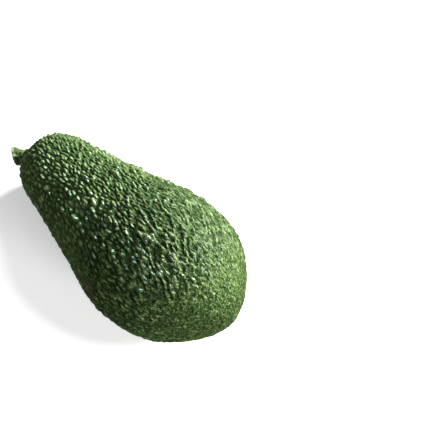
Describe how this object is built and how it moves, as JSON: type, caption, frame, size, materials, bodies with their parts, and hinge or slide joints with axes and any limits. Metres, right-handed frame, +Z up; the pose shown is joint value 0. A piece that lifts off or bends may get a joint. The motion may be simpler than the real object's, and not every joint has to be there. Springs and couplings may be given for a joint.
{
  "type": "avocado",
  "caption": "Long-necked green avocado with pebbled skin and a short cut stalk, lying on its side on a small flat spot.",
  "frame": {"origin": "on the surface the fruit lies on, under the middle of its bounding box", "axes": "+Z up; +X along the fruit's length, from the neck and stalk towards the blossom end; the fruit's own axis rises 13 degrees from the drooping neck to the blossom end"},
  "size_m": [0.1312, 0.0674, 0.0671],
  "materials": {
    "skin": "waxy pebbled green fruit skin, satin with small sharp glints on the bumps",
    "stalk": "matte green woody stalk with a dry, paler cut"
  },
  "bodies": {
    "root": {"fruit": "skin", "stalk": "stalk"}
  },
  "joints": []
}
